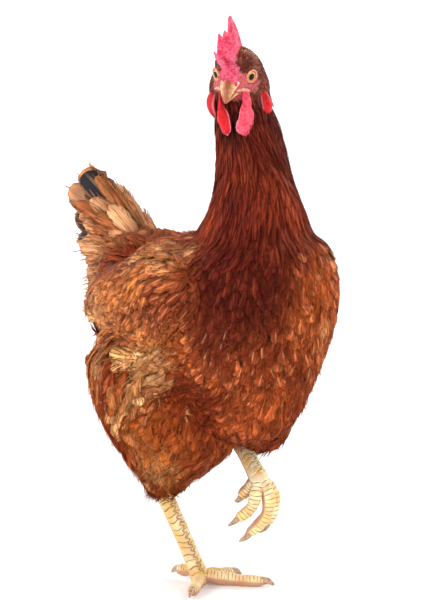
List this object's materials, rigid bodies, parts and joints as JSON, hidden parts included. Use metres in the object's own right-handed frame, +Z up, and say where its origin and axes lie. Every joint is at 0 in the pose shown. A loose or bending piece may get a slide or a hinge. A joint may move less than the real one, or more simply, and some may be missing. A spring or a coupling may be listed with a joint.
{
  "type": "chicken model",
  "caption": "Life-size still model of a brown laying hen in mid-step: she stands on one foot, the other lifted, head turned, tail fanned.",
  "frame": {"origin": "middle of the sole of the standing (right) foot, on the floor", "axes": "+Z up, -Y the way the hen walks, +X her left side"},
  "size_m": [0.185, 0.3382, 0.4793],
  "materials": {
    "plumage": "chestnut feathers with a silky sheen",
    "red_skin": "pebbled, slightly moist skin",
    "beak_horn": "smooth horn, brown towards the ridge",
    "eye": "wet, with an amber ring round a black pupil",
    "leg_scales": "dry yellow scutes with darker edges",
    "claw_horn": "worn pale horn"
  },
  "bodies": {
    "root": {"torso": "plumage", "neck": "plumage", "tail": "plumage", "head": "plumage", "wing_left": "plumage", "wing_right": "plumage", "thigh_left": "plumage", "thigh_right": "plumage", "beak_upper": "beak_horn", "beak_lower": "beak_horn", "comb": "red_skin", "wattle_left": "red_skin", "wattle_right": "red_skin", "ear_lobe_left": "red_skin", "ear_lobe_right": "red_skin", "eye_left": "eye", "eye_right": "eye", "shank_left": "leg_scales", "shank_right": "leg_scales", "foot_left": "leg_scales", "foot_right": "leg_scales", "claw_left_middle": "claw_horn", "claw_left_inner": "claw_horn", "claw_left_outer": "claw_horn", "claw_left_hind": "claw_horn", "claw_right_middle": "claw_horn", "claw_right_inner": "claw_horn", "claw_right_outer": "claw_horn", "claw_right_hind": "claw_horn"}
  },
  "joints": []
}
